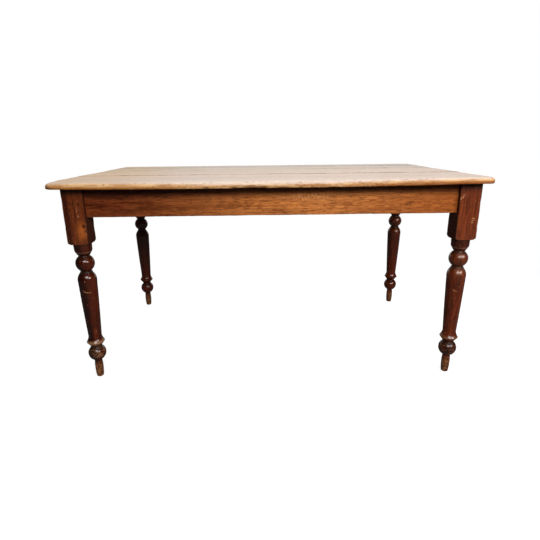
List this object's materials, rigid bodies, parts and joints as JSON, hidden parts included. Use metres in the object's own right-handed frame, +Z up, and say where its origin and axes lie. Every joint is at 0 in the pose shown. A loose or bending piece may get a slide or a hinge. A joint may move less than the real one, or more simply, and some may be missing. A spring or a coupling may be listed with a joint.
{
  "type": "kitchen table",
  "caption": "Farmhouse kitchen table: a scrubbed pine plank top with a rounded edge on a stained frame of pegged rails and turned legs with ball, ring, bulb and peg foot.",
  "frame": {"origin": "on the floor under the middle of the top", "axes": "+X along the table's length, +Y towards its back, +Z up"},
  "size_m": [1.513, 0.91, 0.76],
  "materials": {
    "scrubbed_pine": "scrubbed and waxed",
    "stained_wood": "mahogany stain and worn varnish",
    "peg_wood": "stained end grain",
    "bare_pine": "bare aged pine",
    "iron": "dark oxidised iron"
  },
  "bodies": {
    "root": {"top_board_1": "scrubbed_pine", "top_board_2": "scrubbed_pine", "top_board_3": "scrubbed_pine", "top_board_4": "scrubbed_pine", "top_board_5": "scrubbed_pine", "top_board_6": "scrubbed_pine", "leg_front_left": "stained_wood", "leg_front_right": "stained_wood", "leg_back_left": "stained_wood", "leg_back_right": "stained_wood", "rail_front": "stained_wood", "rail_back": "stained_wood", "rail_left": "stained_wood", "rail_right": "stained_wood", "pegs_front_left": "peg_wood", "pegs_front_right": "peg_wood", "pegs_back_left": "peg_wood", "pegs_back_right": "peg_wood", "loose_tongue_1": "bare_pine", "loose_tongue_2": "bare_pine", "loose_tongue_3": "bare_pine", "loose_tongue_4": "bare_pine", "loose_tongue_5": "bare_pine", "cross_bearer": "bare_pine", "glue_blocks_front": "bare_pine", "glue_blocks_back": "bare_pine", "glue_blocks_left": "bare_pine", "glue_blocks_right": "bare_pine", "nails_left": "iron", "nails_middle": "iron", "nails_right": "iron"}
  },
  "joints": []
}
